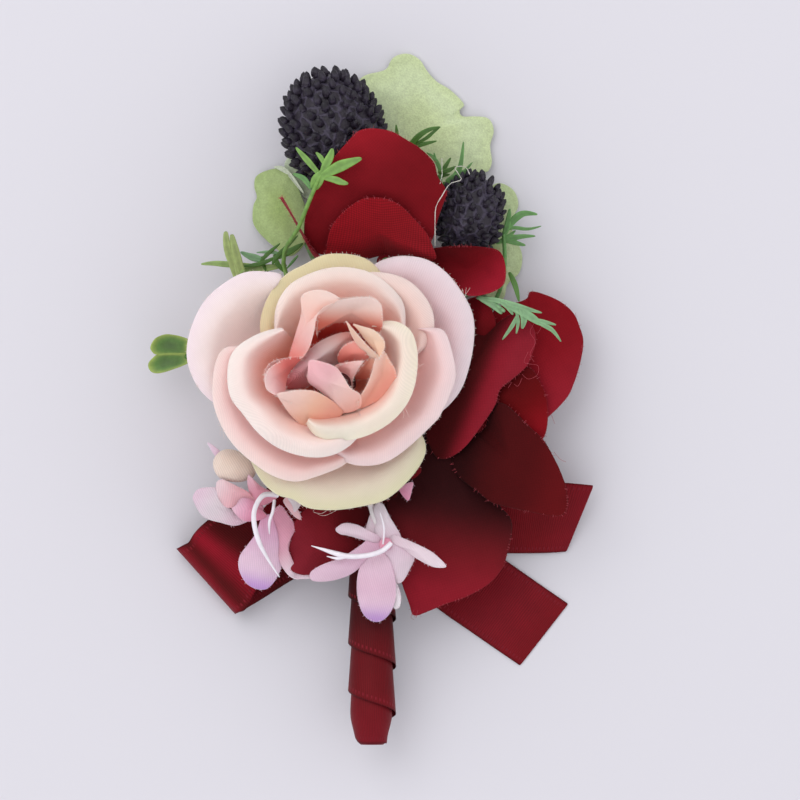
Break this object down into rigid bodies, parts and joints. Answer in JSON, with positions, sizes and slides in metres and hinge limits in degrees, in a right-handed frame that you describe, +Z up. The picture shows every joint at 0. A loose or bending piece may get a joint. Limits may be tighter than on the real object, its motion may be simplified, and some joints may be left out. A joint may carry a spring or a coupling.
{
  "type": "artificial flower corsage with bar pin",
  "caption": "Artificial flower spray with a cloth rose, dark petals, thorny berries, ferns and felt leaves on a ribbon-wound wire stem, with a ribbon bow and a bar pin to fasten it to clothing.",
  "frame": {"origin": "centre of the bounding box, at its bottom, where the bow lies on the table", "axes": "+Z up from the table through the rose, +Y along the stem towards the berries, +X to the right seen from above with the berries away from the viewer"},
  "size_m": [0.0844, 0.1309, 0.041],
  "materials": {
    "green_tape": "crinkled paper-like stem tape",
    "green_plastic": "moulded, slightly waxy",
    "glossy_green": "moulded, glossy",
    "pale_felt": "flocked, mottled pale green",
    "red_cloth": "fine woven polyester, matte",
    "red_satin": "satin ribbon with woven edges",
    "blush_cloth": "fine woven polyester, pale pink",
    "cream_cloth": "fine woven polyester, cream with pink",
    "coral_cloth": "fine woven polyester, coral",
    "pink_cloth": "twill, pink-lilac",
    "berry_plastic": "moulded, semi-gloss",
    "white_plastic": "moulded, smooth",
    "cream_foam": "matte foam",
    "hot_glue": "cloudy, smooth",
    "pin_steel": "nickel-plated sheet",
    "needle_steel": "polished spring wire"
  },
  "bodies": {
    "spray": {"stem_tape": "green_tape", "stem_ribbon_wrap": "red_satin", "stem_tip_fold": "red_satin", "glue_bead": "hot_glue", "rose_core": "coral_cloth", "rose_calyx": "green_plastic", "rose_outer_petals": "blush_cloth", "rose_second_petals": "blush_cloth", "rose_middle_petals": "cream_cloth", "rose_inner_petals": "blush_cloth", "rose_heart_petals": "coral_cloth", "berry_large": "berry_plastic", "berry_small": "berry_plastic", "leaf_large": "pale_felt", "leaf_left": "pale_felt", "leaf_right": "pale_felt", "twin_leaf_sprig": "glossy_green", "pale_leaf_bud": "pale_felt", "cream_bud": "cream_foam", "ribbon_bow": "red_satin", "ribbon_knot": "red_satin", "pin_bar": "pin_steel", "pin_rivet": "pin_steel", "rose_wire": "green_plastic", "berry_large_wire": "green_plastic", "berry_small_wire": "green_plastic", "leaf_wire": "green_plastic", "filler_wire": "white_plastic", "hydrangea_wire": "green_plastic", "floret_top": "red_cloth", "floret_middle": "red_cloth", "floret_right": "red_cloth", "floret_lower": "red_cloth", "fern_sprig_top": "green_plastic", "fern_sprig_berry": "green_plastic", "fern_sprig_middle": "green_plastic", "fern_sprig_right": "green_plastic", "fern_sprig_low": "green_plastic", "fern_sprig_left": "green_plastic", "filler_flower_left": "pink_cloth", "filler_flower_centre": "pink_cloth", "stamens_left": "white_plastic", "stamens_centre": "white_plastic"},
    "needle": {"pin_needle": "needle_steel"},
    "catch_barrel": {"pin_safety_barrel": "pin_steel"}
  },
  "joints": [
    {"name": "needle_swing", "type": "hinge", "parent": "spray", "child": "needle", "pos_m": [-0.00009, -0.03245, 0.00185], "axis": [1, 0, 0], "range_deg": [0, 75]},
    {"name": "catch_turn", "type": "hinge", "parent": "spray", "child": "catch_barrel", "pos_m": [-0.00009, -0.05575, 0.00185], "axis": [0, -1, 0], "range_deg": [0, 120]}
  ]
}
